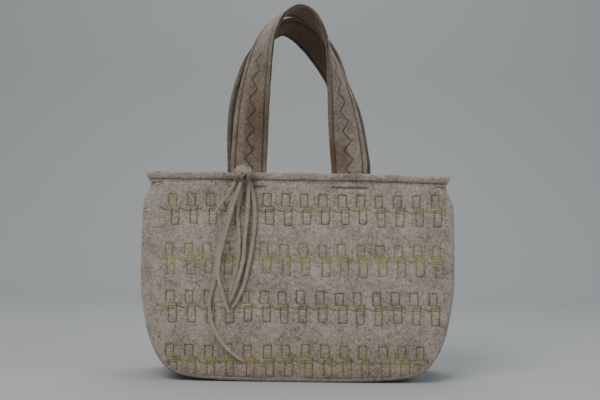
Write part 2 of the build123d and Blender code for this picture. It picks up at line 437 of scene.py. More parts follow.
# ---- tails of the tassel: six cords ----
tail_width = 4.9 * MM
tail_thickness = 2.8 * MM
tail_top = knot_up - 7.5 * MM
lay_near = 3.0 * MM
lay_middle = 6.4 * MM
lay_far = 9.8 * MM
tail_routes = {
    "tassel_tail_1": (lay_middle, 0.050, [
        (-0.0780, tail_top), (-0.0865, 0.2330), (-0.0985, 0.2195), (-0.1055, 0.2060)]),
    "tassel_tail_2": (lay_near, 0.240, [
        (-0.0760, tail_top), (-0.0855, 0.2163), (-0.0945, 0.1780), (-0.1004, 0.1510),
        (-0.1021, 0.1280), (-0.1091, 0.1016), (-0.1091, 0.0875), (-0.1048, 0.0662),
        (-0.0925, 0.0468), (-0.0803, 0.0345), (-0.0680, 0.0264)]),
    "tassel_tail_3": (lay_far, 0.170, [
        (-0.0710, tail_top), (-0.0830, 0.2140), (-0.0930, 0.1710), (-0.0988, 0.1480),
        (-0.0988, 0.1260), (-0.0934, 0.1103), (-0.0885, 0.0950), (-0.0838, 0.0830)]),
    "tassel_tail_4": (lay_near, 0.152, [
        (-0.0685, tail_top), (-0.0735, 0.2290), (-0.0768, 0.2075), (-0.0741, 0.1897),
        (-0.0733, 0.1630), (-0.0743, 0.1457), (-0.0803, 0.1190), (-0.0864, 0.0973)]),
    "tassel_tail_5": (lay_middle, 0.154, [
        (-0.0628, tail_top), (-0.0628, 0.2250), (-0.0645, 0.1988), (-0.0671, 0.1720),
        (-0.0671, 0.1544), (-0.0706, 0.1370), (-0.0785, 0.1103), (-0.0844, 0.0956)]),
    "tassel_tail_6": (lay_near, 0.163, [
        (-0.0615, tail_top), (-0.0550, 0.2250), (-0.0540, 0.1988), (-0.0575, 0.1630),
        (-0.0628, 0.1370), (-0.0662, 0.1190), (-0.0735, 0.1016), (-0.0810, 0.0900)]),
}


def spline_points(points):
    """Points along the smooth line that a limp thong takes."""
    curve = bpy.data.curves.new("route", "CURVE")
    curve.dimensions = "3D"
    curve.resolution_u = 24
    spline = curve.splines.new("NURBS")
    spline.points.add(len(points) - 1)
    for control, point in zip(spline.points, points):
        control.co = (*point, 1)
    spline.order_u = 3
    spline.use_endpoint_u = True
    holder = linked("route", curve)
    found = np.array([v.co for v in evaluated_mesh(holder).vertices])
    bpy.data.objects.remove(holder)
    return found


def thong_section(columns, width, thickness):
    """Places across and through a thong, round its rounded flat section."""
    turn = np.linspace(0, math.tau, columns, endpoint=False)
    return squarish(np.cos(turn), 0.7) * width / 2, squarish(np.sin(turn), 0.7) * thickness / 2


def thong_rings(line, facing, width, thickness, taper=0.0, columns=14, twist=0.0, seed=1):
    """Rounded flat sections along a line; facing is the way the flat side looks."""
    along = unit(np.gradient(line, axis=0))
    side = unit(np.cross(along, facing))
    flat = unit(np.cross(side, along))
    run = run_along(line)
    sway = twist * ripple(run, 0, 0.07, seed)
    side, flat = (side * np.cos(sway)[:, None] + flat * np.sin(sway)[:, None],
                  flat * np.cos(sway)[:, None] - side * np.sin(sway)[:, None])
    narrow = np.ones(len(line))
    if taper:
        narrow = 0.25 + 0.75 * np.sqrt(np.clip((run[-1] - run) / taper, 0, 1))
    uneven = 1 + 0.07 * ripple(run, 0, 0.012, seed + 50)
    across, deep = thong_section(columns, width, thickness)
    scale = (narrow * uneven)[:, None, None]
    return (line[:, None] + side[:, None] * across[None, :, None] * scale
            + flat[:, None] * deep[None, :, None] * np.sqrt(scale))


def make_tails():
    """Six flat thongs that hang from the knot in front of the panel."""
    for number, (name, (lay, length, route)) in enumerate(tail_routes.items()):
        spread = np.array([knot_out + (lay - lay_middle) * 1.5] + [lay] * (len(route) - 1))
        spread[1] = lay * 0.7 + knot_out * 0.3
        flat = np.array(route)
        points = front(flat[:, 0], flat[:, 1], spread)
        line = spline_points(points)
        count = int(length / (1.5 * MM))
        line = resample(line, count)
        rings = thong_rings(line, outward, tail_width, tail_thickness, taper=0.026,
                            twist=0.38, seed=number + 3)
        tail = tube_piece(name + "_thong", rings, thong_felt, "tassel", flip=True)
        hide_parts(name)


make_tails()


# ---- stitches ----
def stitch_tree():
    """Lays one plump thread stitch on every point it is given."""
    tree = bpy.data.node_groups.new("stitches", "GeometryNodeTree")
    face = tree.interface
    face.new_socket("Geometry", in_out="INPUT", socket_type="NodeSocketGeometry")
    face.new_socket("Thread radius", in_out="INPUT", socket_type="NodeSocketFloat")
    face.new_socket("Seed", in_out="INPUT", socket_type="NodeSocketInt")
    face.new_socket("Thread", in_out="INPUT", socket_type="NodeSocketMaterial")
    face.new_socket("Geometry", in_out="OUTPUT", socket_type="NodeSocketGeometry")

    def add(kind, settings=None, sockets=None):
        return add_node(tree, kind, settings, sockets)

    given = add("NodeGroupInput")
    along = add("GeometryNodeInputNamedAttribute", {"data_type": "FLOAT_VECTOR"}, {"Name": "along"})
    facing = add("GeometryNodeInputNamedAttribute", {"data_type": "FLOAT_VECTOR"}, {"Name": "facing"})
    span = add("GeometryNodeInputNamedAttribute", {"data_type": "FLOAT"}, {"Name": "span"})
    first = add("FunctionNodeAlignRotationToVector", {"axis": "X"},
                {"Vector": along.outputs[0]})
    turned = add("FunctionNodeAlignRotationToVector", {"axis": "Z", "pivot_axis": "X"},
                 {"Rotation": first.outputs[0], "Vector": facing.outputs[0]})
    uneven = add("FunctionNodeRandomValue", {"data_type": "FLOAT"},
                 {"Min": 0.82, "Max": 1.12, "Seed": given.outputs["Seed"]})
    thread = add("ShaderNodeMath", {"operation": "MULTIPLY"},
                 {0: given.outputs["Thread radius"], 1: uneven.outputs["Value"]})
    half = add("ShaderNodeMath", {"operation": "MULTIPLY"}, {0: span.outputs[0], 1: 0.5})
    size = add("ShaderNodeCombineXYZ", None, {0: half.outputs[0], 1: thread.outputs[0],
                                              2: thread.outputs[0]})
    ball = add("GeometryNodeMeshUVSphere", None, {"Segments": 6, "Rings": 5, "Radius": 1.0})
    laid = add("GeometryNodeInstanceOnPoints", None, {
        "Points": given.outputs["Geometry"], "Instance": ball.outputs["Mesh"],
        "Rotation": turned.outputs[0], "Scale": size.outputs[0]})
    real = add("GeometryNodeRealizeInstances", None, {"Geometry": laid.outputs[0]})
    soft = add("GeometryNodeSetShadeSmooth", None, {"Geometry": real.outputs[0]})
    dyed = add("GeometryNodeSetMaterial", None, {"Geometry": soft.outputs[0],
                                                 "Material": given.outputs["Thread"]})
    add("NodeGroupOutput", None, {"Geometry": dyed.outputs[0]})
    return tree


stitches = stitch_tree()


def stitch_piece(name, centres, along, facing, span, radius, thread, body, shade=plain_tone):
    """Thread stitches laid on points, as one plain mesh."""
    mesh = bpy.data.meshes.new(name)
    mesh.from_pydata([tuple(c) for c in centres], [], [])
    piece = linked(name, mesh)
    mark(piece, "along", along, vector=True)
    mark(piece, "facing", np.broadcast_to(facing, centres.shape), vector=True)
    mark(piece, "span", span)
    mark(piece, "shade", np.broadcast_to(shade, len(centres)))
    sewing = piece.modifiers.new("stitches", "NODES")
    sewing.node_group = stitches
    values = {"Thread radius": radius, "Seed": len(name), "Thread": thread}
    for item in stitches.interface.items_tree:
        if item.in_out == "INPUT" and item.name in values:
            sewing[item.identifier] = values[item.name]
    settle(piece)
    if body:
        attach(piece, body)
    return piece


def stitches_along(line, pitch):
    """Middle, direction and length of each stitch along a line of points."""
    run = np.linalg.norm(np.diff(line, axis=0), axis=1).sum()
    count = max(1, int(round(run / pitch)))
    ends = resample(line, count + 1)
    steps = np.diff(ends, axis=0)
    spans = np.linalg.norm(steps, axis=1)
    return (ends[:-1] + ends[1:]) / 2, steps / spans[:, None], spans


def sew(name, row, facing, share, radius, back, body="bag"):
    """Plain sewing thread along a row of stitches, on the front or the back of the bag."""
    centres, along, spans = row
    if back:
        centres, along, facing = mirrored(centres), mirrored(along), mirrored(facing)
    return stitch_piece(name, centres, along, facing, spans * share, radius, sewing_thread, body)


# ---- embroidery layout, across and up the front panel ----
row_up = [0.2155, 0.1525, 0.0930, 0.0268]
row_start = [-0.1632, -0.1665, -0.1638, -0.1620]
row_pitch = [0.02355, 0.02385, 0.02350, 0.02360]
row_glow = [0.30, 0.62, 0.26, 0.36]
motif_count = 15


def embroidery_runs(row):
    """The straight runs of thread in one row, each with its tone."""
    draw = random.Random(200 + row)
    level = row_up[row]
    glow = row_glow[row]
    x = row_start[row]
    runs = []
    before = (x - 0.0122, level + 0.0014)
    for _ in range(motif_count):
        width = 0.0099 + draw.uniform(-0.0007, 0.0007)
        low_width = 0.0101 + draw.uniform(-0.0008, 0.0008)
        offset = 0.0034 + draw.uniform(-0.0006, 0.0008)
        tall = 0.0155 + draw.uniform(-0.0009, 0.0008)
        deep = 0.0234 + draw.uniform(-0.0016, 0.0012)
        tilt = draw.uniform(-0.0006, 0.0006)
        drift = draw.uniform(-0.0007, 0.0007)
        top = level + 0.0031 + drift
        middle = level - 0.0002 + drift
        low = level - 0.0033 + drift
        left, right = x + offset, x + offset + low_width
        bright = glow + 0.38
        upper = [(x, top), (x + tilt, top + tall), (x + tilt + width, top + tall),
                 (x + width, top)]
        lower = [(right, top), (right - 0.0005 + tilt, top - deep),
                 (left + 0.0004 + tilt, top - deep), (left, middle)]
        for box in (upper, lower):
            for a, b in zip(box, box[1:]):
                runs.append((a, b, glow))
        runs.append(((x - 0.0002, top), (right, top), bright))
        runs.append(((left, middle), (right + 0.0018, middle), bright))
        runs.append(((x - 0.0015, low), (right - 0.0012, low), bright - 0.08))
        runs.append((before, (x - 0.0050, low + 0.0012), glow + 0.1))
        runs.append(((x - 0.0050, low + 0.0012), (x - 0.0015, low), glow + 0.1))
        before = (right + 0.0018, middle)
        x += row_pitch[row] + draw.uniform(-0.0009, 0.0009)
    runs.append((before, (before[0] + 0.0055, before[1] - 0.0022), glow))
    return runs


embroidery = [embroidery_runs(row) for row in range(4)]


def needle_dents():
    """Everywhere that embroidery pulls the front panel in."""
    spots = []
    for runs in embroidery:
        for a, b, _ in runs:
            count = max(2, int(math.dist(a, b) / 0.0013))
            spots.extend(np.linspace(a, b, count))
    tree = KDTree(len(spots))
    for number, (x, up) in enumerate(spots):
        tree.insert((x, up, 0), number)
    tree.balance()
    return tree


dents = needle_dents()


# ---- outline of the body ----
side_knots = [
    (0.1890, 0.258), (0.1883, 0.248), (0.1893, 0.240), (0.1932, 0.232), (0.1965, 0.223),
    (0.1979, 0.208), (0.1985, 0.165), (0.1978, 0.118), (0.1940, 0.088), (0.1885, 0.062),
    (0.1815, 0.044), (0.1735, 0.0295), (0.1630, 0.0170), (0.1490, 0.0088), (0.1270, 0.0040),
    (0.0980, 0.0017), (0.0650, 0.0005), (0.0350, 0.0), (0.0, 0.0)]


def body_line(count):
    """The body's outer line from the left of the mouth, under the base, to the right."""
    half = curve_through(side_knots, count // 2 + 1)
    half[:, 1] = np.maximum(half[:, 1], 0.0)
    left = half * np.array([-1, 1])
    return np.vstack([left, half[::-1][1:]])


def seam_line(count):
    """Where the gusset meets the panels: the outer line drawn in."""
    line = body_line(count)
    along = unit(np.gradient(line, axis=0))
    inward = np.stack([-along[:, 1], along[:, 0]], axis=1)
    roll = seam_inset - 0.0085 * ease((0.075 - line[:, 1]) / 0.060)
    drawn = line + inward * roll[:, None]
    return line, inward, drawn, roll


def mouth_sag(x):
    """The mouth hangs a little lower at its ends than in the middle."""
    share = np.abs(x) / bulge_half
    return np.where(x > 0, 0.0034, 0.0006) * share**2.4 - 0.0010


panel_foot = seam_line(400)[2][:, 1].min() / math.cos(slant)


def panel_half_width(up):
    """Half width of a panel at a height up it."""
    _, _, drawn, _ = seam_line(400)
    right = drawn[len(drawn) // 2:]
    order = np.argsort(right[:, 1], kind="stable")
    return np.interp(up * math.cos(slant), right[order, 1], right[order, 0])


def panel_swell(x, up, embroidered, seed):
    """How far a panel stands out from its flat plane."""
    half = panel_half_width(np.atleast_1d(up))
    edge = np.minimum(half - np.abs(x), up - panel_foot)
    top = panel_length - up
    held = ease(edge / 0.030) * ease(top / 0.045)
    swell = 0.0013 * ripple(x, up, 0.150, seed) + 0.0006 * ripple(x, up, 0.048, seed + 1)
    swell = swell * held + 0.0007 * bell(edge - 0.010, 0.008)
    swell = swell - 0.0005 * bell(edge, 0.0030)
    swell = swell + 0.00022 * ripple(x, up, 0.016, seed + 2)
    if embroidered:
        for level in row_up:
            near = bell(up - level, 0.0085) * ease(edge / 0.012)
            swell = swell - 0.0007 * near
            swell = swell + 0.0005 * bell(up - level - 0.029, 0.012) * ease(edge / 0.02)
    return swell


def corner_tuck(x, up):
    """The deep fold under the right end of the band."""
    line = x - (mouth_end + (0.2520 - up) * 0.16)
    return bell(line, 0.0024) * bell(up - 0.2385, 0.0085)


def dent_at(x, up):
    """How strongly needle holes draw the felt in at one place, 0 to 1."""
    _, _, distance = dents.find((x, up, 0))
    return math.exp(-((distance / 0.0012) ** 2))


def anchor_dent(x, up, leg_half):
    """The short rows of stitching that hold the strap ends, 0 to 1."""
    level = panel_length - anchor_row_drop
    near = bell(up - level, 0.0015)
    across = np.maximum(np.abs(np.abs(x) - leg_half) - strap_width / 2, 0)
    return near * bell(across, 0.002)


def panel_points(rows, columns, embroidered, leg_half, seed):
    """The outer face of a panel, from its bottom seam up to the mouth."""
    share = np.linspace(0, 1, rows)[:, None]
    across = np.linspace(-1, 1, columns)[None, :]
    up = panel_foot + (panel_length - panel_foot) * share
    half = panel_half_width(up[:, 0])[:, None]
    x = half * across
    up = up - mouth_sag(x) * ease((up - 0.16) / (panel_length - 0.16))
    anchor = anchor_dent(x, up, leg_half)
    swell = panel_swell(x, up, embroidered, seed) - 0.0013 * anchor
    # Painted shade: how much the felt is darkened in the anchor dents and, on the front, in the needle
    # holes and the corner fold.
    crease = 0.62 * anchor
    if embroidered:
        pulls = [dent_at(a, b) for a, b in zip(x.ravel(), up.ravel())]
        pulls = np.array(pulls).reshape(x.shape)
        tuck = corner_tuck(x, up)
        swell = swell - 0.0006 * pulls - 0.0050 * tuck
        crease = np.maximum(0.62 * anchor, np.maximum(0.16 * pulls, 0.9 * tuck))
    return front(x, up, swell), crease


def tucked(points, depth):
    """Adds the seam allowance that turns in round the sides and foot of a panel."""
    inside = np.pad(points, ((1, 0), (1, 1), (0, 0)), mode="edge")
    inside[0] -= outward * depth
    inside[1:, 0] -= outward * depth
    inside[1:, -1] -= outward * depth
    return inside


def low_shade_and_reflection(points):
    """Painted shade and a painted brown reflection: the felt is made a little darker and browner towards
    the base.
    """
    return 0.42 * ease((0.085 - points[..., 2]) / 0.080)


def make_panels():
    """Front and back panels."""
    turned_in = 0.0045
    sizes = {"front_panel": (186, 250, True, front_leg_half, front_seed),
             "back_panel": (96, 140, False, rear_leg_half, back_seed)}
    for node, (rows, columns, embroidered, leg_half, seed) in sizes.items():
        points, crease = panel_points(rows, columns, embroidered, leg_half, seed)
        points = tucked(points, turned_in)
        if node == "back_panel":
            points = mirrored(points)
        panel = grid_piece(node + "_felt", points, body_felt, "bag", flip=node == "back_panel")
        # Painted shade in dents and folds, and painted shade with a painted brown reflection towards the
        # base.
        mark(panel, "crease", np.pad(crease, ((1, 0), (1, 1)), mode="edge"))
        mark(panel, "tan", low_shade_and_reflection(points))
        thicken(panel, felt)
        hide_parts(node)


make_panels()


# ---- gusset ----
def gusset_points(count, columns):
    """A strip that rolls from the front seam round the side and base to the back seam."""
    line, inward, _, rolls = seam_line(count)
    section = curve_through([
        (1.05, -0.50), (1.03, -0.12), (0.93, -0.035), (0.70, -0.045), (0.45, -0.14),
        (0.22, -0.37), (0.05, -0.78), (0.0, -1.24)], columns // 3)
    points = np.zeros((len(line), 2 * len(section) + columns // 2 - 2, 3))
    for number, ((x, z), turn, roll) in enumerate(zip(line, inward, rolls)):
        depth = base_half_depth - max(z, 0) * math.tan(slant)
        on_side = ease((abs(x) - 0.150) / 0.030)
        front_y = -depth - section[:, 1] * roll
        drawn = section[:, 0] * roll
        across = np.linspace(front_y[-1], -front_y[-1], columns // 2)[1:-1]
        reach = across / (abs(front_y[-1]) + 1e-9)
        fold = 0.011 * ease((z - 0.15) / 0.10) * (1 - reach**2) * on_side
        wave = 0.0012 * ripple(across, z + x, 0.07, 5) * on_side * (1 - reach**2)
        middle = fold + np.maximum(wave, -0.0008)
        inset = np.concatenate([drawn, middle, drawn[::-1]])
        y = np.concatenate([front_y, across, -front_y[::-1]])
        points[number, :, 0] = x + turn[0] * inset
        points[number, :, 1] = y
        points[number, :, 2] = z + turn[1] * inset
    points[:, :, 2] -= mouth_sag(points[:, :, 0]) * ease((points[:, :, 2] - 0.16) / 0.098)
    return points


def make_gusset():
    """One long strip: left side, base, right side."""
    points = gusset_points(330, 66)
    gusset = grid_piece("gusset_felt", points, body_felt, "bag", flip=False)
    # Painted shade and a painted brown reflection towards the base.
    mark(gusset, "tan", low_shade_and_reflection(points))
    thicken(gusset, felt)
    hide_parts("gusset")


make_gusset()


# ---- bands round the mouth ----
def band_top(x):
    """Height of the mouth's edge up the panel."""
    return panel_length - mouth_sag(x)


def band_points(seed):
    """A folded band, closed all round, with a stitched groove near its lower edge, and the painted shade
    along that groove.
    """
    x = np.linspace(band_left, band_right, 300)[:, None]
    section = curve_through([
        (-0.0128, -0.0010), (-0.0126, 0.0002), (-0.0112, 0.0007), (-0.0098, 0.0010),
        (-0.0092, 0.0003), (-0.0084, 0.0017), (-0.0055, 0.0027), (-0.0020, 0.0024),
        (0.0002, 0.0006), (0.0005, -0.0014), (-0.0010, -0.0034), (-0.0045, -0.0040),
        (-0.0100, -0.0036), (-0.0122, -0.0032)], 56)
    up = section[None, :, 0]
    out = section[None, :, 1]
    level = band_top(x) + up + 0.0005 * ripple(x, 0, 0.055, seed)
    groove = bell(up + band_row_drop, 0.0012) * (out > -0.001)
    pinch = 0.0004 * np.cos(math.tau * x / band_pitch) * groove
    wave = 0.0004 * ripple(x, up, 0.030, seed + 1) * ease(out / 0.001)
    ear = ease((np.abs(x) - 0.180) / 0.010)
    x = x + np.sign(x) * ear * (0.0016 + 0.55 * np.maximum(up, -0.0125))
    out = out - pinch + wave + 0.0010 * ripple(x, 0, 0.11, seed + 2) * ear
    # Painted shade along the stitched groove, of uneven strength.
    shade_strength = 0.50 + 0.22 * ripple(x, 0, 0.070, seed + 5)
    return front(x, level, out), groove * shade_strength * (0.8 + 0.2 * np.cos(math.tau * x / band_pitch))


def make_bands():
    """Front and back bands with their stitching."""
    for node, seed in (("front_band", 31), ("back_band", 41)):
        points, crease = band_points(seed)
        if node == "back_band":
            points = mirrored(points)
        band = tube_piece(node + "_felt", points, body_felt, "bag", flip=node == "front_band")
        # Painted shade in the stitched groove, and painted shade over the band, darker and browner near
        # the strap legs.
        mark(band, "crease", crease)
        mark(band, "tan", 0.22 + 0.5 * bell(np.abs(points[..., 0]) - front_leg_half, 0.020))
        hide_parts(node)
        x = np.linspace(band_left + 0.0075, band_right - 0.0070, 300)
        line = front(x, band_top(x) - band_row_drop, 0.0007)
        row = stitches_along(line, band_pitch)
        if node == "front_band":
            keep = np.abs(row[0][:, 0] - knot_x) > knot_radius * 0.8
            row = [part[keep] for part in row]
        sewn = sew(node + "_stitches", row, outward, 0.80, sewing_radius, node == "back_band")
        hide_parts(node + "_stitching")


make_bands()


def make_anchor_stitching():
    """Short double rows that hold the strap ends to the panels."""
    for node, leg_half, seed, embroidered in (
            ("front_anchor_stitching", front_leg_half, front_seed, True),
            ("back_anchor_stitching", rear_leg_half, back_seed, False)):
        parts = []
        for side in (-1, 1):
            x = side * leg_half + np.linspace(-0.022, 0.022, 40)
            up = panel_length - anchor_row_drop - mouth_sag(x)
            swell = panel_swell(x, up, embroidered, seed) - 0.0008
            parts.append(stitches_along(front(x, up, swell), strap_pitch))
        row = [np.concatenate(group) for group in zip(*parts)]
        sewn = sew(node + "_thread", row, outward, 0.85, anchor_radius, node.startswith("back"))
        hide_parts(node)


make_anchor_stitching()


# ---- embroidery ----
def make_embroidery():
    """Four rows of thread, each stitch laid on the front panel."""
    for row, runs in enumerate(embroidery):
        parts = []
        for a, b, tone in runs:
            middle, way, span = stitches_along(np.linspace(a, b, 8), embroidery_pitch)
            parts.append((middle, way, span, np.full(len(span), tone)))
        place, way, span, shade = (np.concatenate(group) for group in zip(*parts))
        inside = panel_half_width(place[:, 1]) - np.abs(place[:, 0])
        keep = (place[:, 1] > panel_foot + 0.001) & (inside > 0.001)
        place, way, span, shade = place[keep], way[keep], span[keep], shade[keep]
        swell = panel_swell(place[:, 0], place[:, 1], True, front_seed) - 0.00020
        centres = front(place[:, 0], place[:, 1], swell)
        along = way[:, :1] * sideways + way[:, 1:] * upward
        node = f"embroidery_row_{row + 1}"
        sewn = stitch_piece(node + "_thread", centres, along, outward, span * 0.90,
                            embroidery_radius, embroidery_thread, "bag", shade)
        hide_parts(node)


make_embroidery()


# ---- turned-in hems at the ends of the mouth ----
def make_gusset_hems():
    """A strip of felt folded in along the top of each gusset end."""
    for node, side in (("left_gusset_hem", -1), ("right_gusset_hem", 1)):
        low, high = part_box(node)
        y = np.linspace(low.y, high.y, 24)[:, None]
        turn = np.linspace(0, math.tau, 20, endpoint=False)[None, :]
        fold = 0.0105 * (1 - (y / (high.y + 0.012)) ** 2)
        tall = (high.z - low.z) / 2
        middle_x = (mouth_end - fold) * side
        x = middle_x + side * 0.0011 * squarish(np.cos(turn), 0.6)
        z = (low.z + high.z) / 2 - 0.004 + tall * squarish(np.sin(turn), 0.6)
        points = np.stack(np.broadcast_arrays(x, y, z), axis=-1)
        hem = tube_piece(node + "_felt", points, body_felt, "bag", flip=side < 0)
        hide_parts(node)


make_gusset_hems()


# ---- handles ----
def strap_line(leg_half, rise, shapes, turn, yaw, apart, lean, wrap=0):
    """Middle line of a strap and, at each point, the ways across it and out of its face."""
    left = [(-1, spread, climb) for spread, climb in shapes[0]]
    right = [(1, spread, climb) for spread, climb in reversed(shapes[1][:-1])]
    knots = []
    for side, spread, climb in left + right:
        x = side * spread * leg_half - lean * climb
        swing = math.radians(yaw * climb)
        y = hinge_y - apart * climb + x * math.sin(swing)
        knots.append((x * math.cos(swing), y, hinge_z + climb * rise))
    sewn = front(0.0, np.linspace(sewn_low, hinge_z / math.cos(slant) - 0.003, 3),
                 -felt - strap_layer)
    foot = [(-leg_half, y, z) for _, y, z in sewn]
    tail = [(leg_half, y, z) for _, y, z in sewn[::-1]]
    crown = curve_through(knots, 300)
    line = resample(np.vstack([foot, crown, tail]), 420)
    smoothing_passes = 12
    for _ in range(smoothing_passes):
        line[1:-1] = (line[:-2] + 2 * line[1:-1] + line[2:]) / 4
    along = unit(np.gradient(line, axis=0))
    climb = np.clip((line[:, 2] - hinge_z) / rise, 0, 1)
    swing = np.radians(yaw * climb)
    facing = np.stack([np.sin(swing), -np.cos(swing), 0 * swing], axis=1)
    inward = unit(np.cross(along, facing))
    place = np.linspace(0, 1, len(line))
    crown_turn = turn[0] + (turn[1] - turn[0]) * ease((place - 0.36) / 0.30)
    wrapped = wrap * bell(climb - 0.57, 0.22) * ease((place - 0.5) / 0.08)
    twist = np.radians(crown_turn * climb**1.2 + wrapped)[:, None]
    across = inward * np.cos(twist) + np.cross(inward, along) * np.sin(twist)
    across = unit(across)
    return line, across, unit(np.cross(across, along))


def strap_profile(c, run, ribs, total):
    """How thick one layer is across the strap: an edge roll, sewn grooves, a soft crown."""
    half = strap_width / 2
    roll = 0.0022
    past = np.clip((np.abs(c) - (half - roll)) / roll, 0, 1)
    thick = strap_layer * np.sqrt(np.clip(1 - past**2, 0.0, 1))
    thick = thick - 0.0012 * bell(np.abs(c) - (half - edge_row_inset), 0.0012)
    thick = thick + 0.0003 * ripple(run, c, 0.028, 77) + 0.0002 * ripple(run, c, 0.011, 78)
    if ribs:
        wave = serpentine(run, total)
        fade = serpentine_reach(run, total)
        thick = thick - 0.0010 * bell(c - wave, 0.0015) * fade
    return thick


def serpentine(run, total):
    """The wandering stitched line down the middle of a strap."""
    wave_length = 0.0240
    reach = 0.0046
    phase = math.tau * np.minimum(run, total - run) / wave_length + 0.6 * np.sin(run * 31)
    return reach * np.arcsin(0.95 * np.sin(phase)) / 1.25 + 0.0009 * ripple(run, 0, 0.09, 9)


def serpentine_reach(run, total):
    """1 on the legs, 0 over the crown, where the line isn't sewn."""
    sewn_length = 0.172
    from_end = np.minimum(run, total - run)
    return 1 - ease((from_end - sewn_length) / 0.004)


def strap_layer_piece(name, strap, side, handle, ribs):
    """One felt layer of a strap, closed all round."""
    line, across, facing = strap
    run = run_along(line)[:, None]
    half = strap_width / 2 - 0.0001
    near_edge = np.concatenate([np.linspace(0, 0.9, 29), np.linspace(0.92, 1, 6)])
    c = np.concatenate([-near_edge[::-1], near_edge[1:]]) * half
    outer = strap_profile(c[None, :], run, ribs, run[-1]) * side
    inner_c = np.linspace(half, -half, 9)[1:-1]
    inner = np.full((len(line), len(inner_c)), 0.00006) * side
    offsets = np.concatenate([outer, inner], axis=1)
    places = np.concatenate([c, inner_c])
    points = (line[:, None] + across[:, None] * places[None, :, None]
              + facing[:, None] * offsets[..., None])
    if handle == "rear_handle":
        points = mirrored(points)
    turned = (side > 0) != (handle == "rear_handle")
    layer = tube_piece(name, points, strap_felt, None, flip=not turned)
    # Painted shade in the sewn grooves.
    grooves = 0.75 * bell(np.abs(c) - (strap_width / 2 - edge_row_inset), 0.0011)
    wander = bell(c - serpentine(run, run[-1]), 0.0013) * serpentine_reach(run, run[-1])
    grooves = grooves + 0.9 * wander
    blank = np.zeros((len(line), len(inner_c)))
    mark(layer, "crease", np.concatenate([np.minimum(grooves, 1), blank], axis=1))
    # Painted shade: the strap's darkening and browning, and a fixed darkening on each layer's inner face.
    mark(layer, "tan", np.concatenate([strap_shade(line, c, side), blank + 0.4], axis=1))
    return layer


def strap_shade(line, c, side):
    """Painted shade on a strap: its face darker and browner low on the legs, the left leg most; its
    backing darker all along, most under the crown.
    """
    x, z = line[:, :1], line[:, 2:]
    left = bell(z - 0.325, 0.045) * ease((c + 0.012) / 0.008)
    right = bell(z - 0.283, 0.022) * ease((c + 0.004) / 0.008) + 0.7 * ease((c - 0.0165) / 0.002)
    legs = np.where(x < 0, 0.30 + 0.7 * left, 0.12 + 0.8 * right) * ease((0.45 - z) / 0.06)
    under = 0.45 + 0.55 * ease((z - 0.37) / 0.04)
    return legs if side > 0 else under + 0 * c


def bend(piece, handle):
    """Bakes a strap piece's placing into its own mesh."""
    y = hinge_y if handle == "front_handle" else -hinge_y
    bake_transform(piece)


def strap_stitching(name, strap, handle):
    """Edge rows and the wandering middle row, sewn through the strap."""
    line, across, facing = strap
    run = run_along(line)
    total = run[-1]
    parts = []
    edge_row = np.full(len(run), strap_width / 2 - edge_row_inset)
    wanted = [-edge_row, edge_row, serpentine(run, total)]
    for number, c in enumerate(wanted):
        stretches = [np.arange(len(run))]
        if number == 2:
            sewn = serpentine_reach(run, total) > 0.5
            middle = len(run) // 2
            stretches = [np.flatnonzero(sewn[:middle]), middle + np.flatnonzero(sewn[middle:])]
        for side in (1, -1):
            depth = strap_profile(c, run, True, total) * side
            path = line + across * c[:, None] + facing * (depth + side * 0.0001)[:, None]
            for stretch in stretches:
                centres, along, spans = stitches_along(path[stretch], strap_pitch)
                nearest = np.searchsorted(
                    np.linspace(0, 1, len(stretch)), np.linspace(0, 1, len(centres)))
                out = facing[stretch][np.clip(nearest, 0, len(stretch) - 1)] * side
                parts.append((centres, along, spans, out))
    *row, out = (np.concatenate(group) for group in zip(*parts))
    sewn = sew(name, row, out, 0.82, sewing_radius, handle == "rear_handle", body=None)
    bend(sewn, handle)


tall_arch = ((1, 0), (0.90, 0.36), (0.75, 0.66), (0.58, 0.84), (0.30, 0.96), (0, 1))
wide_arch = ((1, 0), (0.94, 0.36), (0.82, 0.60), (0.64, 0.78), (0.36, 0.93), (0, 1))
wide_right = ((1, 0), (0.94, 0.36), (0.86, 0.60), (0.69, 0.78), (0.38, 0.93), (0, 1))


def make_handles():
    """Two straps of two felt layers, each sewn in behind a panel."""
    yaw = 19
    straps = {
        "front_handle": strap_line(front_leg_half, 0.1965, (tall_arch, tall_arch), (96, 96), yaw,
                                   apart=0, lean=0.0068),
        "rear_handle": strap_line(rear_leg_half, 0.184, (wide_arch, wide_right), (78, 60), -yaw,
                                  apart=0.0105, lean=0.0175, wrap=38),
    }
    tabs = {"front_handle": ("front_left_tab", "front_right_tab"),
            "rear_handle": ("rear_left_tab", "rear_right_tab")}
    for handle, strap in straps.items():
        face = strap_layer_piece(handle + "_face_felt", strap, 1, handle, True)
        backing = strap_layer_piece(handle + "_backing_felt", strap, -1, handle, True)
        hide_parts(handle + "_face", *tabs[handle])
        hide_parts(handle + "_backing")
        for layer in (face, backing):
            bend(layer, handle)
            "front_band_felt" if handle == "front_handle" else "back_band_felt"
        strap_stitching(handle + "_stitches", strap, handle)


make_handles()


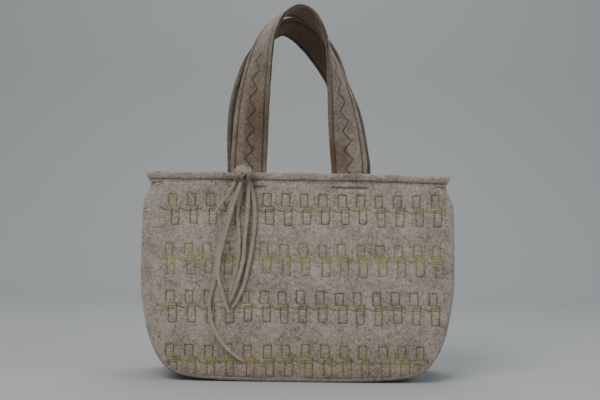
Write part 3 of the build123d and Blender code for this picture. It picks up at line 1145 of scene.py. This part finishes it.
# ---- knot and its tie ----
def wound_piece(name, centre, turns, scale, squash, body):
    """Thongs wound round each other; each turn gives two ways it runs, a radius and a shift."""
    vertices, faces, shade_in_creases, brown_shade = [], [], [], []
    columns = 12
    turn = np.linspace(0, math.tau, 48, endpoint=False)
    for number, (a, b, radius, shift) in enumerate(turns):
        a = unit(np.array(a))
        b = np.array(b) - a * np.dot(a, b)
        b = unit(b)
        c = np.cross(a, b)
        swell = radius * (1 + 0.06 * np.sin(2 * turn + number))
        local = (np.cos(turn) * swell)[:, None] * a + (np.sin(turn) * swell)[:, None] * b
        local = local + c * (shift + 0.0010 * np.sin(3 * turn + number))[:, None]
        rings = closed_thong(local, unit(local), 0.0044, 0.0034, columns) * scale
        deep = np.linalg.norm(rings, axis=-1) / (knot_radius * scale)
        # Painted shade in the gaps deep inside the ball.
        shade_in_creases.append(0.95 * ease((0.97 - deep) / 0.16))
        # Painted shade on the lower half of the ball.
        brown_shade.append(0.15 + 0.85 * ease((0.001 - rings[..., 1]) / 0.007))
        rings[..., 2] *= squash
        world = (centre + rings[..., 0:1] * sideways + rings[..., 1:2] * upward
                 + rings[..., 2:3] * outward)
        start = len(vertices)
        vertices.extend(world.reshape(-1, 3))
        for face in grid_faces(len(turn), columns, True, True, flip=True):
            faces.append(tuple(start + index for index in face))
    piece = mesh_piece(name, vertices, faces, thong_felt, body)
    mark(piece, "crease", np.concatenate([part.ravel() for part in shade_in_creases]))
    mark(piece, "tan", np.concatenate([part.ravel() for part in brown_shade]))
    return piece


def make_knot():
    """A ball of thongs wound over and under each other in front of the band."""
    centre = front(knot_x, knot_up, knot_out)
    smaller = 0.95
    turns = [
        ((1.0, 0.15, 0.1), (0.0, 0.40, 0.9), 0.0093, 0.0026),
        ((0.9, 0.50, 0.1), (-0.3, 0.4, 0.85), 0.0102, -0.0024),
        ((0.70, -0.70, 0.1), (0.35, 0.35, 0.85), 0.0106, 0.0012),
        ((0.45, 0.9, 0.0), (0.1, 0.0, 1.0), 0.0104, -0.0044),
        ((0.6, -0.8, 0.0), (0.0, 0.2, 1.0), 0.0098, 0.0054),
        ((1.0, -0.20, 0.0), (0.0, -0.4, 0.9), 0.0094, -0.0064),
        ((0.25, 0.97, 0.1), (0.4, 0.1, 0.9), 0.0100, 0.0048),
        ((0.75, 0.66, -0.2), (0.2, 0.1, 0.95), 0.0110, 0.0020),
        ((0.90, -0.42, 0.2), (0.1, 0.5, 0.85), 0.0108, -0.0012),
    ]
    knot = wound_piece("tassel_knot_wraps", centre, turns, smaller, 1.0, "tassel")
    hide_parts("tassel_knot")


def closed_thong(line, facing, width, thickness, columns):
    """Flat rounded sections round a closed loop."""
    along = unit(np.roll(line, -1, axis=0) - np.roll(line, 1, axis=0))
    side = unit(np.cross(along, facing))
    flat = unit(np.cross(side, along))
    across, deep = thong_section(columns, width, thickness)
    return line[:, None] + side[:, None] * across[None, :, None] + flat[:, None] * deep[None, :, None]


make_knot()


def make_tie():
    """The thong that runs through the mouth to the knot, and the flat stopper at its inner end."""
    low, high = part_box("tassel_tie")
    stop = (high.x - low.x) / 2
    inner = (-base_half_depth + (knot_up + stop) * math.sin(slant) - high.y) / math.cos(slant)
    out = np.linspace(inner + 0.0010, 0.0040, 12)
    line = front(knot_x + 0 * out, knot_up + 0 * out, out)
    rings = thong_rings(line, np.tile(upward, (12, 1)), 0.0052, 0.0040)
    thong = tube_piece("tassel_tie_thong", rings, thong_felt, "tassel_tie")
    turns = [
        ((1.0, 0.1, 0.0), (0.0, 1.0, 0.1), 0.0085, 0.0),
        ((0.7, 0.7, 0.1), (-0.2, 0.3, 0.9), 0.0080, 0.0012),
        ((0.8, -0.6, 0.0), (0.2, 0.2, 1.0), 0.0082, -0.0014),
    ]
    centre = front(knot_x, knot_up, inner + 0.0018)
    stopper = wound_piece("tassel_tie_stopper", centre, turns, stop / 0.0105, 0.22, "tassel_tie")
    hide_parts("tassel_tie")


make_tie()


# ---- floor and light ----
def plain_material(name, colour):
    """Pale painted studio sweep with the faintest unevenness."""
    graph = Graph(name, Roughness=0.8)
    tone = graph.noise(1.3, 2.0, 0.5)
    graph.feed("Base Color", graph.mix(tone, (*colour, 1), (*[c * 0.96 for c in colour], 1)))
    return graph.material


def make_stage():
    """A pale floor that runs up into a backdrop."""
    side = 4.0
    y = [-3.0, 0.9]
    z = [0.0, 0.0]
    radius = 0.6
    for step in range(1, 13):
        turn = math.radians(7.5 * step)
        y.append(0.9 + radius * math.sin(turn))
        z.append(radius - radius * math.cos(turn))
    y.append(y[-1])
    z.append(3.0)
    points = np.array([[(x, b, c) for x in (-side, side)] for b, c in zip(y, z)])
    floor = grid_piece("floor", points, plain_material("floor", (0.47, 0.49, 0.50)), None)


def area_light(name, place, aim, size, power, colour):
    """A large soft lamp."""
    lamp = bpy.data.lights.new(name, "AREA")
    lamp.shape = "RECTANGLE"
    lamp.size = size
    lamp.size_y = size
    lamp.energy = power
    lamp.color = colour
    holder = linked(name, lamp)
    holder.location = place
    holder.rotation_euler = (Vector(aim) - Vector(place)).to_track_quat("-Z", "Y").to_euler()


def make_light():
    """Soft light from above and in front, with a gentle fill."""
    area_light("key", (-0.7, -1.1, 1.7), (0, 0, 0.18), 1.1, 22, (1.0, 0.975, 0.94))
    area_light("side", (1.5, -0.7, 1.0), (0, 0, 0.2), 0.9, 7, (0.95, 0.97, 1.0))
    area_light("top", (0.1, 0.5, 1.8), (0, 0, 0.25), 1.0, 10, (1.0, 0.99, 0.97))
    world = bpy.data.worlds.new("studio")
    world.use_nodes = True
    world.node_tree.nodes["Background"].inputs["Color"].default_value = (0.80, 0.84, 0.88, 1)
    world.node_tree.nodes["Background"].inputs["Strength"].default_value = 0.32
    bpy.context.scene.world = world


make_stage()
make_light()
